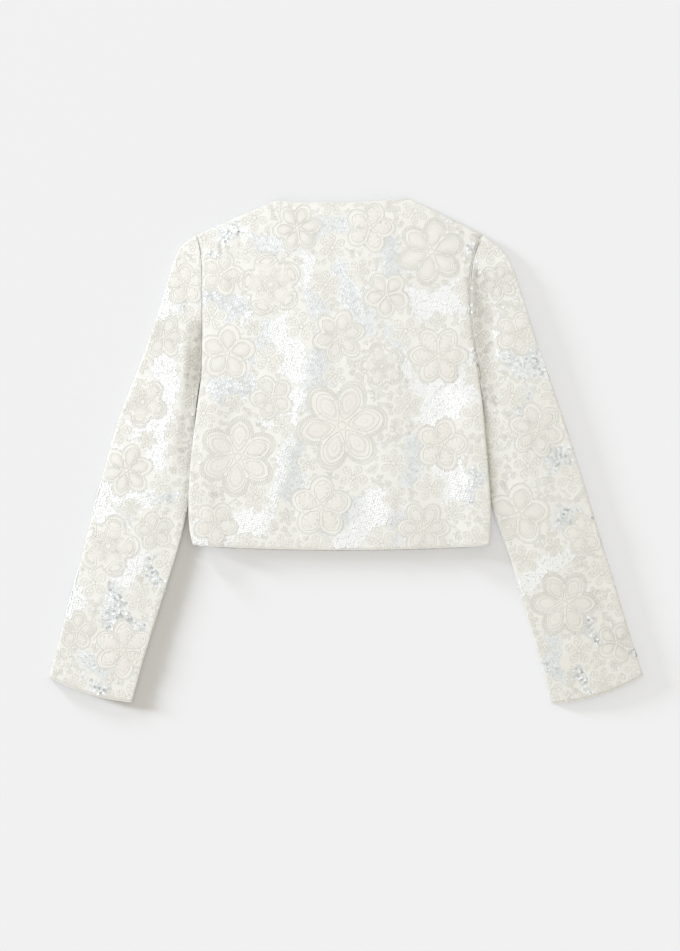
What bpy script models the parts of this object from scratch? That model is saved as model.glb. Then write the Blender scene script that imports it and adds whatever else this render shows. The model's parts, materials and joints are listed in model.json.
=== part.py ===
"""A short collarless jacket of flower-embroidered, sequinned cloth, laid flat on its front, back upward.

Tables are in millimetres. Their origin is near the middle of the back hem, +X to the right and +Y up to the
neck as the back is seen from above, and +Z is the height over the table that the jacket lies on. The finished
pieces are moved so that the origin is the middle of the part's own underside.
"""

import math
from collections import namedtuple

import bmesh
import bpy
import numpy as np
from mathutils import Matrix

MM = 0.001

# Cloth and seams
WALL = 2.2  # embroidered and sequinned net on its backing
SEAM_GAP = 0.3  # between the back and a front at their seams
ARMHOLE_GAP = 0.45  # between the body and a sleeve
LOFT = 2.4  # air between the back and the fronts
LEAST_LOFT = 0.7
MOST_LOFT = 3.7
ROLL = 4.2  # how far in plan a seamed edge takes to turn down

# Each side edge of the body, from the hem up past the underarm to the shoulder's tip
UNDERARM = 225.0
SideRow = namedtuple("SideRow", "up left right")
SIDES = (
    SideRow(3, -198.0, 201.0),
    SideRow(23, -202.5, 202.5),
    SideRow(63, -204.0, 202.5),
    SideRow(117, -201.0, 198.5),
    SideRow(171, -194.5, 194.0),
    SideRow(UNDERARM, -188.0, 188.0),
    SideRow(273, -186.0, 181.0),
    SideRow(340, -186.0, 175.5),
    SideRow(378, -186.0, 177.5),
    SideRow(408, -189.0, 185.0),
    SideRow(421, -193.0, 192.0),
)
HEM_CORNER = SIDES[0].up
TOP = SIDES[-1].up

# Neck, hem and fronts
NECK_ENDS = ((-90.0, 466.0), (94.5, 470.0))
NECK_DIP = 4.0
HEM_SAG = 6.0
FRONT_NECK_DROP = 76.0
CENTRE_FRONT = 2.0
FRONT_OPENING = 0.6
FRONT_HEM_SHOWS = 2.0  # the fronts reach this far below the back's hem

# The body's sides are lifted by the sleeves that are tucked under them
LIFT = 6.0
LIFT_RAMP = 36.0  # down the side from the underarm
LIFT_FLAT = 15.0  # in from the side
LIFT_END = 55.0

# Largest folds of the back: a soft ridge, or with a negative rise a trough, along each line
Fold = namedtuple("Fold", "x0 y0 x1 y1 half_width rise")
BACK_FOLDS = (
    Fold(-46, 400, -33, 235, 30, 1.2),
    Fold(-33, 235, -82, 110, 28, 1.3),
    Fold(-82, 110, -108, 20, 28, 0.9),
    Fold(-10, 390, -6, 240, 20, -1.2),
    Fold(-52, 130, -58, 20, 20, -1.1),
    Fold(60, 440, 66, 330, 18, 1.0),
    Fold(62, 100, 68, 5, 20, 1.2),
    Fold(24, 200, 36, 20, 24, -1.0),
    Fold(118, 330, 108, 60, 34, -0.9),
    Fold(-150, 405, -160, 330, 12, 1.0),
    Fold(-130, 425, -146, 380, 11, -1.0),
)
FOLD_FADE = 16.0  # folds die out this far from the outline

# Sleeves: each row runs across the flat tube from its outer fold to its inner fold, and the bow is how far
# the row's middle lies toward the cuff
SleeveRow = namedtuple("SleeveRow", "outer_x outer_y inner_x inner_y bow inner_height crown")
LEFT_SLEEVE = (
    SleeveRow(-193.0, 421.0, -188.0, 225.0, 0.0, 6.8, 6.8),
    SleeveRow(-213.0, 407.0, -190.3, 214.0, 1.5, 6.2, 5.6),
    SleeveRow(-224.5, 384.0, -191.5, 203.0, 2.0, 5.4, 6.6),
    SleeveRow(-237.0, 342.0, -193.2, 188.0, 1.0, 5.2, 7.6),
    SleeveRow(-250.0, 302.0, -194.6, 168.0, 0.0, 5.2, 8.0),
    SleeveRow(-274.0, 236.0, -195.0, 135.0, 0.0, 5.2, 8.1),
    SleeveRow(-299.0, 171.0, -198.0, 95.0, 0.0, 5.2, 8.1),
    SleeveRow(-319.5, 98.0, -207.0, 42.0, 0.0, 5.2, 8.0),
    SleeveRow(-340.0, 20.0, -222.0, -15.0, 0.0, 5.4, 8.1),
    SleeveRow(-359.5, -55.0, -243.5, -83.0, 0.0, 5.4, 8.1),
    SleeveRow(-377.0, -118.0, -263.5, -148.0, 2.0, 5.4, 7.8),
    SleeveRow(-392.5, -174.0, -280.5, -208.5, 6.0, 5.6, 7.4),
)
RIGHT_SLEEVE = (
    SleeveRow(192.0, 421.0, 188.0, 225.0, 0.0, 6.8, 6.8),
    SleeveRow(209.0, 409.0, 190.2, 214.0, 2.0, 6.2, 5.4),
    SleeveRow(227.5, 389.0, 191.4, 203.0, 2.0, 5.4, 6.4),
    SleeveRow(243.5, 347.0, 192.9, 188.0, 1.0, 5.2, 7.6),
    SleeveRow(257.0, 303.0, 193.2, 168.0, 0.0, 5.2, 8.0),
    SleeveRow(281.0, 232.0, 190.0, 135.0, 0.0, 5.2, 8.1),
    SleeveRow(305.0, 163.0, 192.5, 95.0, 0.0, 5.2, 8.1),
    SleeveRow(325.5, 98.0, 209.0, 40.0, 0.0, 5.2, 8.0),
    SleeveRow(349.0, 20.0, 228.5, -12.0, 0.0, 5.4, 8.1),
    SleeveRow(370.0, -48.0, 247.5, -78.0, 0.0, 5.4, 8.1),
    SleeveRow(389.5, -113.0, 268.0, -147.0, 2.0, 5.4, 7.8),
    SleeveRow(408.5, -172.0, 285.5, -210.5, 8.0, 5.6, 7.4),
)
INNER_FLAT = 16.0  # a sleeve stays low this far from its inner fold
INNER_RISE = 48.0  # and reaches its crown here

# Embroidered flowers, raised on the upper side of the cloth
RELIEF = 0.9
RELIEF_SHOULDER = 6.0
PETAL_NOTCH = 0.66  # radius between two petals over the radius at a petal's tip
EYE_SHARE = 0.24
EYE_DEPTH = 0.6
Flower = namedtuple("Flower", "x y radius petals turn")
BACK_FLOWERS = (
    Flower(2, 164, 62, 6, 10),
    Flower(-138, 122, 54, 6, 25),
    Flower(132, 258, 40, 6, 0),
    Flower(136, 138, 36, 5, 4),
    Flower(-94, 354, 44, 5, 30),
    Flower(-2, 284, 36, 6, 15),
    Flower(122, 398, 46, 6, 20),
    Flower(40, 430, 34, 5, 0),
    Flower(-152, 262, 38, 5, 12),
    Flower(-92, 202, 30, 5, 40),
    Flower(56, 244, 32, 5, 33),
    Flower(-26, 54, 42, 5, 15),
    Flower(112, 26, 36, 6, 0),
    Flower(62, 340, 32, 5, 50),
    Flower(-168, 32, 30, 5, 60),
    Flower(-58, 430, 33, 6, 8),
    Flower(-160, 368, 30, 5, 0),
)
LEFT_SLEEVE_FLOWERS = (
    Flower(-208, 354, 28, 5, 20),
    Flower(-238, 284, 30, 6, 0),
    Flower(-266, 196, 34, 5, 45),
    Flower(-288, 104, 36, 6, 12),
    Flower(-312, 2, 42, 5, 0),
    Flower(-250, 22, 26, 5, 30),
    Flower(-292, -138, 40, 6, 30),
    Flower(-354, -112, 26, 5, 10),
)
RIGHT_SLEEVE_FLOWERS = (
    Flower(214, 358, 26, 6, 20),
    Flower(238, 288, 30, 5, 0),
    Flower(264, 158, 38, 6, 45),
    Flower(240, 44, 42, 5, 12),
    Flower(302, -76, 46, 6, 0),
    Flower(328, 18, 28, 5, 30),
    Flower(372, -128, 28, 5, 0),
)

# How finely each surface is divided. Stations round a rolled edge, down the lift's fall from each side, along
# its ramp and up the armhole's bend are the same in every body panel, so that the panels follow each other there.
FINE_ANGLES = (0, 24, 48, 72, 90)
PLAIN_ANGLES = (0, 45, 90)
SIDE_STATIONS = (9, 15, 22, 30, 38, 46, 55)
RAMP_ROWS = (183, 189, 195, 201, 207, 213, 219, UNDERARM, 229)
NECK_ROW = 318  # of the front's rows, the one that ends at the foot of its neck
BEND_ROWS = (336, 353, 366, 378, 389, 399, 408)
BACK_STEP, LINING_STEP, FRONT_STEP = 9.6, 24.0, 34.0
SLEEVE_UPPER, SLEEVE_UNDER, SLEEVE_SECTIONS = 9, 3, 48
BORE_UPPER, BORE_UNDER, BORE_SECTIONS = 5, 2, 23
PATH_STEPS = 120


def smooth(t):
    """0 to 1 with level ends, for t from 0 to 1."""
    t = np.clip(t, 0, 1)
    return t * t * (3 - 2 * t)


def through_rows(rows, count):
    """A cubic through the rows' columns, read at `count` even steps from the first row to the last."""
    table = np.array(rows, float)
    padded = np.vstack([2 * table[0] - table[1], table, 2 * table[-1] - table[-2]])
    at = np.linspace(0, len(rows) - 1, count)
    k = np.minimum(at.astype(int), len(rows) - 2)
    t = (at - k)[:, None]
    a, b, c, d = (padded[k + i] for i in range(4))
    return 0.5 * (2 * b + (c - a) * t + (2 * a - 5 * b + 4 * c - d) * t**2 + (3 * (b - c) + d - a) * t**3)


def shares_along(path):
    """Each point's share of a path's whole length."""
    steps = np.linalg.norm(np.diff(path, axis=0), axis=1)
    return np.concatenate([[0], np.cumsum(steps)]) / steps.sum()


def along(path, shares):
    """Points at these shares of a path's length."""
    run = shares_along(path)
    return np.stack([np.interp(shares, run, path[:, i]) for i in range(2)], axis=-1)


def curve_along(path):
    return lambda shares: along(path, shares)


def side_path(side, low, high):
    """The body's left (-1) or right (1) edge between two heights, as plan points."""
    up = np.linspace(low, high, PATH_STEPS)
    table = through_rows(SIDES, PATH_STEPS)
    return np.stack([np.interp(up, table[:, 0], table[:, 1 if side < 0 else 2]), up], axis=-1)


def side_curve(path):
    """An edge of the body as a function of the share of its height."""
    return lambda shares: np.stack(
        [np.interp(HEM_CORNER + shares * (TOP - HEM_CORNER), path[:, 1], path[:, i]) for i in range(2)], axis=-1
    )


WHOLE_SIDES = [side_path(side, HEM_CORNER, TOP) for side in (-1, 1)]
SIDE_SEAMS = [side_path(side, HEM_CORNER, UNDERARM) for side in (-1, 1)]
SHOULDER_SEAMS = [np.linspace(edge[-1], end, PATH_STEPS) for edge, end in zip(WHOLE_SIDES, np.array(NECK_ENDS))]
BODY_MIDDLE = np.array([0.0, 230.0])


def away_from(path, points):
    """Distance of each point from a path, and the level direction that leads away from it, into the body."""
    start, step = path[:-1], np.diff(path, axis=0)
    length = np.linalg.norm(step, axis=1)
    inward = np.stack([-step[:, 1], step[:, 0]], axis=-1) / length[:, None]
    inward *= np.sign(((BODY_MIDDLE - start) * inward).sum(axis=1))[:, None]
    offset = points[..., None, :] - start
    share = np.clip((offset * step).sum(axis=-1) / length**2, 0, 1)
    gap = offset - share[..., None] * step
    distance = np.linalg.norm(gap, axis=-1)
    nearest = distance.argmin(axis=-1)
    least = np.take_along_axis(distance, nearest[..., None], -1)[..., 0]
    straight = np.take_along_axis(gap, nearest[..., None, None], -2)[..., 0, :]
    leads = np.where(least[..., None] > 0.05, straight / np.maximum(least, 1e-9)[..., None], inward[nearest])
    return least, leads


def from_seams(points):
    """Distance from the nearest side or shoulder seam, and the direction away from it."""
    least = np.full(points.shape[:-1], np.inf)
    leads = np.zeros(points.shape)
    for path in SIDE_SEAMS + SHOULDER_SEAMS:
        distance, direction = away_from(path, points)
        nearer = distance < least
        least = np.where(nearer, distance, least)
        leads = np.where(nearer[..., None], direction, leads)
    return least, leads


def turn_share(distance):
    """0 on a rolled edge, rising round a quarter circle to 1 where the cloth lies level."""
    return np.sqrt(1 - (1 - np.clip(distance / ROLL, 0, 1)) ** 2)


def wall_inset(distance):
    """How far a wall's inner face stands in from its outer face, in plan, round a rolled edge."""
    return WALL * (1 - np.clip(distance / ROLL, 0, 1))


def lift_at(points):
    """Height of the fronts' underside over the table."""
    near = np.min([away_from(path, points)[0] for path in SIDE_SEAMS], axis=0)
    down = smooth((UNDERARM - points[..., 1]) / LIFT_RAMP)
    return LIFT * down * (1 - smooth((near - LIFT_FLAT) / (LIFT_END - LIFT_FLAT)))


def fold_rise(points):
    rise = np.zeros(points.shape[:-1])
    for fold in BACK_FOLDS:
        start, end = np.array([fold.x0, fold.y0]), np.array([fold.x1, fold.y1])
        step = end - start
        share = np.clip(((points - start) @ step) / (step @ step), 0, 1)
        gap = np.linalg.norm(points - start - share[..., None] * step, axis=-1)
        rise += fold.rise * (1 - smooth(gap / fold.half_width))
    return rise


def loft_at(points):
    """Air between the fronts and the back, with the folds in it."""
    edge = np.min([away_from(path, points)[0] for path in WHOLE_SIDES + SHOULDER_SEAMS], axis=0)
    return np.clip(LOFT + fold_rise(points) * smooth(edge / FOLD_FADE), LEAST_LOFT, MOST_LOFT)


def flower_rise(points, flowers):
    """Height of the raised flowers over the plain cloth."""
    rise = np.zeros(points.shape[:-1])
    for flower in flowers:
        dx, dy = points[..., 0] - flower.x, points[..., 1] - flower.y
        reach = np.hypot(dx, dy)
        angle = np.arctan2(dy, dx) - math.radians(flower.turn)
        petal = np.abs(np.cos(flower.petals * angle / 2))
        outline = flower.radius * (PETAL_NOTCH + (1 - PETAL_NOTCH) * petal)
        eye = 1 - EYE_DEPTH * (1 - smooth(reach / (EYE_SHARE * flower.radius)))
        rise = np.maximum(rise, RELIEF * smooth((outline - reach) / RELIEF_SHOULDER) * eye)
    return rise


def roll_stations(angles):
    """Distances in from a rolled edge for these angles of its quarter circle."""
    return [ROLL * (1 - math.cos(math.radians(angle))) for angle in angles]


def stations(marks, step):
    """The marks, with even stations no further apart than `step` put between them."""
    line = [marks[0]]
    for start, end in zip(marks, marks[1:]):
        count = max(1, math.ceil((end - start) / step - 0.01))
        line += [start + (end - start) * (i + 1) / count for i in range(count)]
    return np.array(line)


def body_columns(width, both_sides, step):
    """Shares across a body panel, from its side seam to the other side seam or to the centre front."""
    near = [*roll_stations(FINE_ANGLES), *SIDE_STATIONS]
    far = [width - distance for distance in reversed(near)] if both_sides else [width]
    return stations(near + far, step) / width


def body_rows(step):
    """Shares up a body panel's side, from the hem to the shoulder's tip."""
    below_shoulder = [TOP - distance for distance in reversed(roll_stations(FINE_ANGLES))]
    heights = stations([HEM_CORNER, *RAMP_ROWS, NECK_ROW, *BEND_ROWS, *below_shoulder], step)
    return (heights - HEM_CORNER) / (TOP - HEM_CORNER)


def patch(hem, top, left, right, columns, rows):
    """A Coons patch between four outline curves, each a function of a share from 0 to 1."""
    u, v = (share[..., None] for share in np.meshgrid(columns, rows))
    low_left, low_right, high_left, high_right = (edge(share) for edge in (hem, top) for share in (0.0, 1.0))
    corners = (1 - v) * ((1 - u) * low_left + u * low_right) + v * ((1 - u) * high_left + u * high_right)
    upright = (1 - v) * hem(u[..., 0]) + v * top(u[..., 0])
    level = (1 - u) * left(v[..., 0]) + u * right(v[..., 0])
    return upright + level - corners


def hem_curve(start, end, below):
    """The hem from one of its points to another, sagging between the jacket's two sides."""
    left, right = SIDES[0].left, SIDES[0].right

    def curve(shares):
        point = start + (end - start) * np.asarray(shares)[..., None]
        across = (point[..., 0] - left) / (right - left)
        middle = across * (1 - across)
        drop = HEM_SAG * 4 * middle + below * smooth(10 * middle)
        return point - np.stack([np.zeros_like(drop), drop], axis=-1)

    return curve


def rolled(points, upper, inner):
    """A body panel's outer or inner face over these plan points, turned toward the other panel at its seams."""
    distance, leads = from_seams(points)
    turned = turn_share(distance)
    half_loft = loft_at(points) / 2
    seam = lift_at(points) + WALL + half_loft
    depth = half_loft - SEAM_GAP / 2 + (0 if inner else WALL)
    height = seam + upper * (SEAM_GAP / 2 + depth * turned)
    plan = points + leads * wall_inset(distance)[..., None] if inner else points
    return np.concatenate([plan, height[..., None]], axis=-1), turned


def back_grid(step, inner):
    share = np.linspace(0, 1, PATH_STEPS)
    neck_start, neck_end = np.array(NECK_ENDS)
    neck = neck_start + (neck_end - neck_start) * share[:, None]
    neck[:, 1] -= NECK_DIP * 4 * share * (1 - share)
    top = np.vstack([SHOULDER_SEAMS[0][:-1], neck, SHOULDER_SEAMS[1][-2::-1]])
    left, right = WHOLE_SIDES
    hem = hem_curve(left[0], right[0], 0.0)
    columns = body_columns(right[0][0] - left[0][0], True, step)
    plan = patch(hem, curve_along(top), side_curve(left), side_curve(right), columns, body_rows(step))
    grid, turned = rolled(plan, 1, inner)
    if not inner:
        grid[..., 2] += flower_rise(plan, BACK_FLOWERS) * turned
    return grid


def front_grid(side, inner):
    """A front: its hem, its side with the armhole, its shoulder, and its neck with the centre front."""
    which = 0 if side < 0 else 1
    edge, shoulder, neck_end = WHOLE_SIDES[which], SHOULDER_SEAMS[which], NECK_ENDS[which]
    centre = CENTRE_FRONT + side * FRONT_OPENING / 2
    hem = hem_curve(edge[0], np.array([centre, HEM_CORNER]), FRONT_HEM_SHOWS)
    neck_low = neck_end[1] - FRONT_NECK_DROP
    neck_share = (NECK_ROW - HEM_CORNER) / (TOP - HEM_CORNER)

    def closing(shares):
        angle = np.clip((shares - neck_share) / (1 - neck_share), 0, 1) * math.pi / 2
        hem_end = hem(1.0)[1]
        straight = hem_end + (neck_low - hem_end) * np.minimum(shares / neck_share, 1)
        rise = FRONT_NECK_DROP * (1 - np.cos(angle))
        return np.stack([centre + (neck_end[0] - centre) * np.sin(angle), straight + rise], axis=-1)

    columns = body_columns(abs(edge[0][0] - centre), False, FRONT_STEP)
    plan = patch(hem, curve_along(shoulder), side_curve(edge), closing, columns, body_rows(FRONT_STEP))
    return rolled(plan, -1, inner)[0]


def ring_stations(width, angles, upper_between, under_between):
    """Distances from the outer fold, over the sleeve's upper side and back along its underside."""
    near = roll_stations(angles)
    far = [width - distance for distance in reversed(near)]
    upper = near + list(np.linspace(near[-1], far[0], upper_between + 2)[1:-1]) + far
    under = near + list(np.linspace(near[-1], far[0], under_between + 2)[1:-1]) + far
    return np.array(upper + under[-2:0:-1]), np.arange(len(upper) + len(under) - 2) < len(upper)


def sleeve_grid(rows, side, inner):
    """Rings of a flat tube, one for each section from the armhole to the cuff."""
    angles, upper_between, under_between, sections = (
        (PLAIN_ANGLES, BORE_UPPER, BORE_UNDER, BORE_SECTIONS)
        if inner
        else (FINE_ANGLES, SLEEVE_UPPER, SLEEVE_UNDER, SLEEVE_SECTIONS)
    )
    armhole = side_path(side, UNDERARM, TOP)[::-1]
    flowers = LEFT_SLEEVE_FLOWERS if side < 0 else RIGHT_SLEEVE_FLOWERS
    rings = []
    for row, down in zip(through_rows(rows, sections), np.linspace(0, len(rows) - 1, sections)):
        row = SleeveRow(*row)
        outer, inside = np.array([row.outer_x, row.outer_y]), np.array([row.inner_x, row.inner_y])
        width = np.linalg.norm(inside - outer)
        run, is_upper = ring_stations(width, angles, upper_between, under_between)
        edge = np.minimum(run, width - run)
        turned = turn_share(edge)
        rise = smooth((width - run - INNER_FLAT) / (INNER_RISE - INNER_FLAT))
        half = (row.inner_height + (row.crown - row.inner_height) * rise) / 2
        depth = half - (WALL if inner else 0)
        height = half + np.where(is_upper, 1, -1) * depth * turned
        inset = wall_inset(edge) if inner else 0
        share = ((run + np.where(run < width / 2, 1, -1) * inset) / width)[:, None]
        axis = (inside - outer) / width
        toward_cuff = np.array([axis[1], -axis[0]]) * -side
        line = outer + share * (inside - outer) + toward_cuff * row.bow * 4 * share * (1 - share)
        seam = along(armhole, share[:, 0]) + [side * ARMHOLE_GAP, 0]
        plan = seam + (line - seam) * smooth(down)
        if not inner:
            height = height + flower_rise(plan, flowers) * turned * is_upper * smooth(down)
        rings.append(np.column_stack([plan, height]))
    return np.array(rings)


def zip_borders(bm, first, second, closed):
    """Triangles between two borders of different counts, matched by their share of the way along."""
    a, b = (border + border[:1] if closed else border for border in (first, second))
    share_a, share_b = (shares_along(np.array([vert.co for vert in border])) for border in (a, b))
    i = j = 0
    while i < len(a) - 1 or j < len(b) - 1:
        if j == len(b) - 1 or (i < len(a) - 1 and share_a[i + 1] <= share_b[j + 1]):
            bm.faces.new((a[i], b[j], a[i + 1]))
            i += 1
        else:
            bm.faces.new((a[i], b[j], b[j + 1]))
            j += 1


def wall_solid(name, outer, inner, tube, material, collection):
    """One closed cloth wall between an outer and an inner grid: a sheet or, if `tube`, a tube open at its ends."""
    bm = bmesh.new()
    faces = []
    for grid in (outer, inner):
        lines = [[bm.verts.new(point * MM) for point in line] for line in grid]
        faces.append(lines)
        wide = len(lines[0])
        for lower, upper in zip(lines, lines[1:]):
            for i in range(wide if tube else wide - 1):
                k = (i + 1) % wide
                bm.faces.new((lower[i], lower[k], upper[k], upper[i]))
    out, inn = faces
    zip_borders(bm, out[0], inn[0], tube)
    zip_borders(bm, out[-1], inn[-1], tube)
    if not tube:
        zip_borders(bm, [line[0] for line in out], [line[0] for line in inn], False)
        zip_borders(bm, [line[-1] for line in out], [line[-1] for line in inn], False)
    bmesh.ops.recalc_face_normals(bm, faces=bm.faces)
    mesh = bpy.data.meshes.new(name)
    bm.to_mesh(mesh)
    bm.free()
    mesh.materials.append(material)
    mesh.shade_smooth()
    mesh.set_sharp_from_angle(angle=math.radians(50))
    obj = bpy.data.objects.new(name, mesh)
    collection.objects.link(obj)
    return obj


def cloth_material(name, colour, roughness):
    material = bpy.data.materials.new(name)
    material.use_nodes = True
    shader = material.node_tree.nodes["Principled BSDF"]
    shader.inputs["Base Color"].default_value = (*colour, 1.0)
    shader.inputs["Roughness"].default_value = roughness
    shader.inputs["Metallic"].default_value = 0.0
    return material


def centre_on_origin(pieces):
    """Moves the pieces so that the origin is the middle of their common box in plan, and the table is z = 0."""
    points = np.array([vertex.co for obj in pieces for vertex in obj.data.vertices])
    middle = (points.min(axis=0) + points.max(axis=0)) / 2
    for obj in pieces:
        obj.matrix_world = Matrix.Translation((-middle[0], -middle[1], -points[:, 2].min()))


def build():
    for obj in list(bpy.data.objects):
        bpy.data.objects.remove(obj)
    jacket = bpy.data.collections.new("embroidered_jacket")
    bpy.context.scene.collection.children.link(jacket)
    embroidered = cloth_material("embroidered_cloth", (0.80, 0.785, 0.735), 0.75)
    front_cloth = cloth_material("front_cloth", (0.76, 0.745, 0.70), 0.8)
    back = back_grid(BACK_STEP, False), back_grid(LINING_STEP, True)
    pieces = [wall_solid("back", *back, False, embroidered, jacket)]
    for word, side, rows in (("left", -1, LEFT_SLEEVE), ("right", 1, RIGHT_SLEEVE)):
        front = front_grid(side, False), front_grid(side, True)
        pieces.append(wall_solid(f"{word}_front", *front, False, front_cloth, jacket))
        sleeve = sleeve_grid(rows, side, False), sleeve_grid(rows, side, True)
        pieces.append(wall_solid(f"{word}_sleeve", *sleeve, True, embroidered, jacket))
    centre_on_origin(pieces)


build()
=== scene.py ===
"""Looks of a short collarless jacket of flower-embroidered, sequinned cloth, laid flat on its front.

Plan tables are in millimetres, in the maker's drawing of the laid jacket: X to the right and Y up to the
neck, from a point near the middle of the back hem. The frame's own origin lies at ORIGIN in that drawing.
"""

import json
import math
from collections import namedtuple

import bmesh
import bpy
import numpy as np
from mathutils import Vector
from mathutils.bvhtree import BVHTree
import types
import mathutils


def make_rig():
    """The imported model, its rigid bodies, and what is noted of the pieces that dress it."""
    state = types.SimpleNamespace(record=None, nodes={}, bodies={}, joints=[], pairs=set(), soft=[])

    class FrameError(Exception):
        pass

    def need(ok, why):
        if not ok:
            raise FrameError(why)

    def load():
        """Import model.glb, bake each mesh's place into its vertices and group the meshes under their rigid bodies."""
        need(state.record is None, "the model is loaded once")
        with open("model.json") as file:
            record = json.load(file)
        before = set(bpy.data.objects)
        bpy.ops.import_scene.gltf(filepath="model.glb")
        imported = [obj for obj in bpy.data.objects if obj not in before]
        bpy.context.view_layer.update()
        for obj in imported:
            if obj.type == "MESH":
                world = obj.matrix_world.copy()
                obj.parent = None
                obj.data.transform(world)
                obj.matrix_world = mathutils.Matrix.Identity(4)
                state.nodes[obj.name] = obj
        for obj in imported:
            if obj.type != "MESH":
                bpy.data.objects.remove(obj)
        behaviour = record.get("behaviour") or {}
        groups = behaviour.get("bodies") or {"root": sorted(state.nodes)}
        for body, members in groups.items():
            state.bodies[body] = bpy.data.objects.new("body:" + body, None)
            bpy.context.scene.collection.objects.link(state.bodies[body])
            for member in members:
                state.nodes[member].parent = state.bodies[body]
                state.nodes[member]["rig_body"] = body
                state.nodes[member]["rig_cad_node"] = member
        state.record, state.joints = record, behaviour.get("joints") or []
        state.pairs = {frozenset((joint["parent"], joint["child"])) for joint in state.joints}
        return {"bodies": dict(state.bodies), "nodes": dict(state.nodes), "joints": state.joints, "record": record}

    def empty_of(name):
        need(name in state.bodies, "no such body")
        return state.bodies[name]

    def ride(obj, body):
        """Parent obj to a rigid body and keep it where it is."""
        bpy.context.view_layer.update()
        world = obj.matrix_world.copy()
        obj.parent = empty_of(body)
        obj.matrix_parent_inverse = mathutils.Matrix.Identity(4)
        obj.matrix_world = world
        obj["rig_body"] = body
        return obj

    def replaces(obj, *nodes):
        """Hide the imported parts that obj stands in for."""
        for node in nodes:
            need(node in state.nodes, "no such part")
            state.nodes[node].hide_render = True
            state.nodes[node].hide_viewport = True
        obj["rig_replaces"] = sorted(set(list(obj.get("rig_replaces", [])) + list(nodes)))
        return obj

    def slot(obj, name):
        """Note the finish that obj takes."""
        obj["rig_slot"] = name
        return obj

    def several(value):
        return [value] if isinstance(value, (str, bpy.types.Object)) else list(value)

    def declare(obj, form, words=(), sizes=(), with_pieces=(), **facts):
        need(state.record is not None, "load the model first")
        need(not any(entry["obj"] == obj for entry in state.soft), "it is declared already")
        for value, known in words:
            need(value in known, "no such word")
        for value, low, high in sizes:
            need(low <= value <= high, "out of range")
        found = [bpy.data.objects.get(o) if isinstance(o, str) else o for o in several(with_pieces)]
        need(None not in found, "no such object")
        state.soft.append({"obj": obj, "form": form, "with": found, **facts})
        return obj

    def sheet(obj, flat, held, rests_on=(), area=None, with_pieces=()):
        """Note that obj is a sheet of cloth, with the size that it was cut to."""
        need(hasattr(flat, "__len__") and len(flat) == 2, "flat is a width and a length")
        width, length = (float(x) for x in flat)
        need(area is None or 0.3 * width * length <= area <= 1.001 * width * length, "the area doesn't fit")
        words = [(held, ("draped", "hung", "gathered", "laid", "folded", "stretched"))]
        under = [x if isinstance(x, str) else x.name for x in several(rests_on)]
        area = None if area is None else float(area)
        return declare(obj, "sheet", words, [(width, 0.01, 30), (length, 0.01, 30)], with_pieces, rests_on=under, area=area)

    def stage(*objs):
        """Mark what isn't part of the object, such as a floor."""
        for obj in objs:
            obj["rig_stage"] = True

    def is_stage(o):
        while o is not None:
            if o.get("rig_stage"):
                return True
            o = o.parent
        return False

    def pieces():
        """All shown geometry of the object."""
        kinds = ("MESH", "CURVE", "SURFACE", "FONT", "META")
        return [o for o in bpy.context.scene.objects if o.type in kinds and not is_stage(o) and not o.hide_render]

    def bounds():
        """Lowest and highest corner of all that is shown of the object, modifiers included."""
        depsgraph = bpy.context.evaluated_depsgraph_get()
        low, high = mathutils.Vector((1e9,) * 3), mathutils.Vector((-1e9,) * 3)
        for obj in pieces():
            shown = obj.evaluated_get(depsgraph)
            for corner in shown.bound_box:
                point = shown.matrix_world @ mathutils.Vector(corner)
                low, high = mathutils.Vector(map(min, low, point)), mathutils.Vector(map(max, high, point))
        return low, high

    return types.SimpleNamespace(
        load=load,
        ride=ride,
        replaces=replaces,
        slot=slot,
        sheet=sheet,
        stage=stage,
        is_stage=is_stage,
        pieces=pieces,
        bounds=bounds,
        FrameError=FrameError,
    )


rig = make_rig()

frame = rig.load()
cad_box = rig.bounds()

MM = 0.001
ORIGIN = np.array([8.0, 129.75])
SEED = 41

# Large flowers of the embroidery, as the cloth's solids have them, and what fills their petals
Flower = namedtuple("Flower", "x y radius petals turn fill")
BACK_FLOWERS = (
    Flower(2, 164, 62, 6, 10, "loops"),
    Flower(-138, 122, 54, 6, 25, "loops"),
    Flower(132, 258, 40, 6, 0, "waves"),
    Flower(136, 138, 36, 5, 4, "waves"),
    Flower(-94, 354, 44, 5, 30, "fan"),
    Flower(-2, 284, 36, 6, 15, "loops"),
    Flower(122, 398, 46, 6, 20, "arcs"),
    Flower(40, 430, 34, 5, 0, "waves"),
    Flower(-152, 262, 38, 5, 12, "arcs"),
    Flower(-92, 202, 30, 5, 40, "loops"),
    Flower(56, 244, 32, 5, 33, "fan"),
    Flower(-26, 54, 42, 5, 15, "waves"),
    Flower(112, 26, 36, 6, 0, "loops"),
    Flower(62, 340, 32, 5, 50, "arcs"),
    Flower(-168, 32, 30, 5, 60, "waves"),
    Flower(-58, 430, 33, 6, 8, "arcs"),
    Flower(-160, 368, 30, 5, 0, "loops"),
)
LEFT_SLEEVE_FLOWERS = (
    Flower(-208, 354, 28, 5, 20, "waves"),
    Flower(-238, 284, 30, 6, 0, "loops"),
    Flower(-266, 196, 34, 5, 45, "fan"),
    Flower(-288, 104, 36, 6, 12, "arcs"),
    Flower(-312, 2, 42, 5, 0, "fan"),
    Flower(-250, 22, 26, 5, 30, "loops"),
    Flower(-292, -138, 40, 6, 30, "waves"),
    Flower(-354, -112, 26, 5, 10, "loops"),
)
RIGHT_SLEEVE_FLOWERS = (
    Flower(214, 358, 26, 6, 20, "loops"),
    Flower(238, 288, 30, 5, 0, "waves"),
    Flower(264, 158, 38, 6, 45, "loops"),
    Flower(240, 44, 42, 5, 12, "arcs"),
    Flower(302, -76, 46, 6, 0, "loops"),
    Flower(328, 18, 28, 5, 30, "waves"),
    Flower(372, -128, 28, 5, 0, "arcs"),
)
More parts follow.
